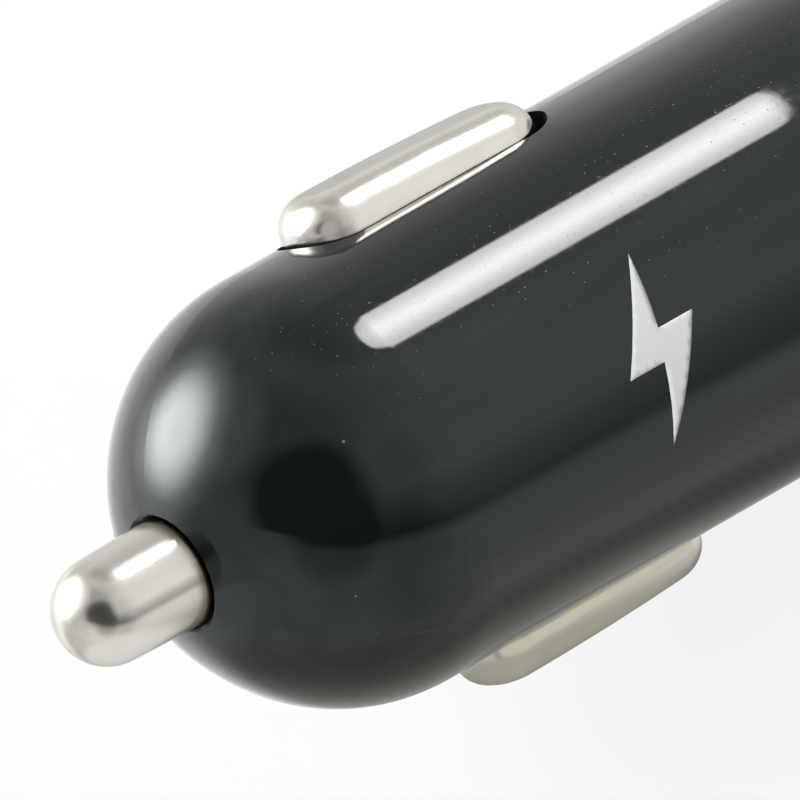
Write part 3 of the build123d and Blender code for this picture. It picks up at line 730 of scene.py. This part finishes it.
def add_strip():
    """Panel of light on the floor, laid out so that the barrel mirrors it as a straight strip."""
    mesh = strip_mesh()
    mesh.materials.append(strip_material())
    strip = add_object("strip_light", mesh)
    strip.location.z = STRIP_LIFT
    for_mirrors_only(strip)


def add_shade(name, middle, aside, height, inner, tone):
    """Card close to a contact or the pin, with painted shade or painted light in the place of what the room
    would show there.
    """
    material = bpy.data.materials.new(name)
    n = emptied(material)
    cover = n.spread(from_card_middle(n), inner, CARD_EDGE, 1, 0)
    clear = n.add("ShaderNodeBsdfTransparent")
    shade = n.add("ShaderNodeEmission", {"Color": tone, "Strength": 1.0})
    mixed = n.add("ShaderNodeMixShader", {0: cover, 1: clear.outputs[0], 2: shade.outputs[0]})
    n.add("ShaderNodeOutputMaterial", {"Surface": mixed.outputs[0]})
    middle, aside, along = Vector(middle) * MM, Vector(aside) * MM, Vector((0, 0, height)) * MM
    for_mirrors_only(add_card(name, middle, aside, along, material))


def add_lamp(name, azimuth, elevation, level):
    """Soft square lamp, as bright as this share of the plain level, that mirrors don't see."""
    data = bpy.data.lights.new(name, "AREA")
    data.size = LAMP_SIZE
    data.energy = level * pi**2 * LAMP_DISTANCE**2
    lamp = add_object(name, data)
    towards = direction(azimuth, elevation)
    lamp.location = NOSE_FOOT + towards * LAMP_DISTANCE
    lamp.rotation_euler = towards.to_track_quat("Z", "Y").to_euler()
    lamp.visible_glossy = False


def add_world():
    """White room for the camera, an even soft light, and the room that mirrors see."""
    world = bpy.data.worlds.new("studio")
    bpy.context.scene.world = world
    n = emptied(world)
    by_camera, by_mirror = ray_kinds(n)
    where = n.add("ShaderNodeTexCoord").outputs["Generated"]
    extra = n.math("MULTIPLY", by_mirror, n.math("SUBTRACT", room_glow(n, where), AMBIENT))
    seen = n.math("MULTIPLY", by_camera, 1 - AMBIENT)
    level = n.math("ADD", n.math("ADD", extra, seen), AMBIENT)
    background = n.add("ShaderNodeBackground", {"Color": rgb(1, 1, 1), "Strength": level})
    n.add("ShaderNodeOutputWorld", {"Surface": background.outputs[0]})


add_floor()
add_window()
add_strip()
for name, shade in SHADES.items():
    add_shade(name, *shade)
for name, lamp in LAMPS.items():
    add_lamp(name, *lamp)
add_world()


# Camera


def add_camera():
    """Camera of the photograph: the plug's axis slants through the picture, pin towards lower left."""
    back = direction(VIEW_AZIMUTH, VIEW_ELEVATION)
    along = (Vector((0, 0, 1)) - back * back.z).normalized()
    aside = along.cross(back)
    slant = radians(AXIS_ANGLE)
    right = cos(slant) * along - sin(slant) * aside
    up = -cos(slant) * aside - sin(slant) * along
    off_right = (PICTURE / 2 - NOSE_FOOT_PIXEL[0]) / VIEW_SCALE
    off_down = (PICTURE / 2 - NOSE_FOOT_PIXEL[1]) / VIEW_SCALE
    aim = NOSE_FOOT + right * off_right - up * off_down
    z_axis = (CAMERA_PLACE - aim).normalized()
    x_axis = (right - z_axis * right.dot(z_axis)).normalized()
    y_axis = z_axis.cross(x_axis)
    data = bpy.data.cameras.new("camera")
    data.sensor_width = SENSOR
    data.lens = VIEW_SCALE * VIEW_DISTANCE / PICTURE * SENSOR
    data.clip_start, data.clip_end = CLIP_NEAR, CLIP_FAR
    camera = add_object("camera", data)
    turn = Matrix((x_axis, y_axis, z_axis)).transposed().to_4x4()
    camera.matrix_world = Matrix.Translation(CAMERA_PLACE) @ turn
    bpy.context.scene.camera = camera


add_camera()
bpy.context.scene.view_settings.view_transform = "Standard"
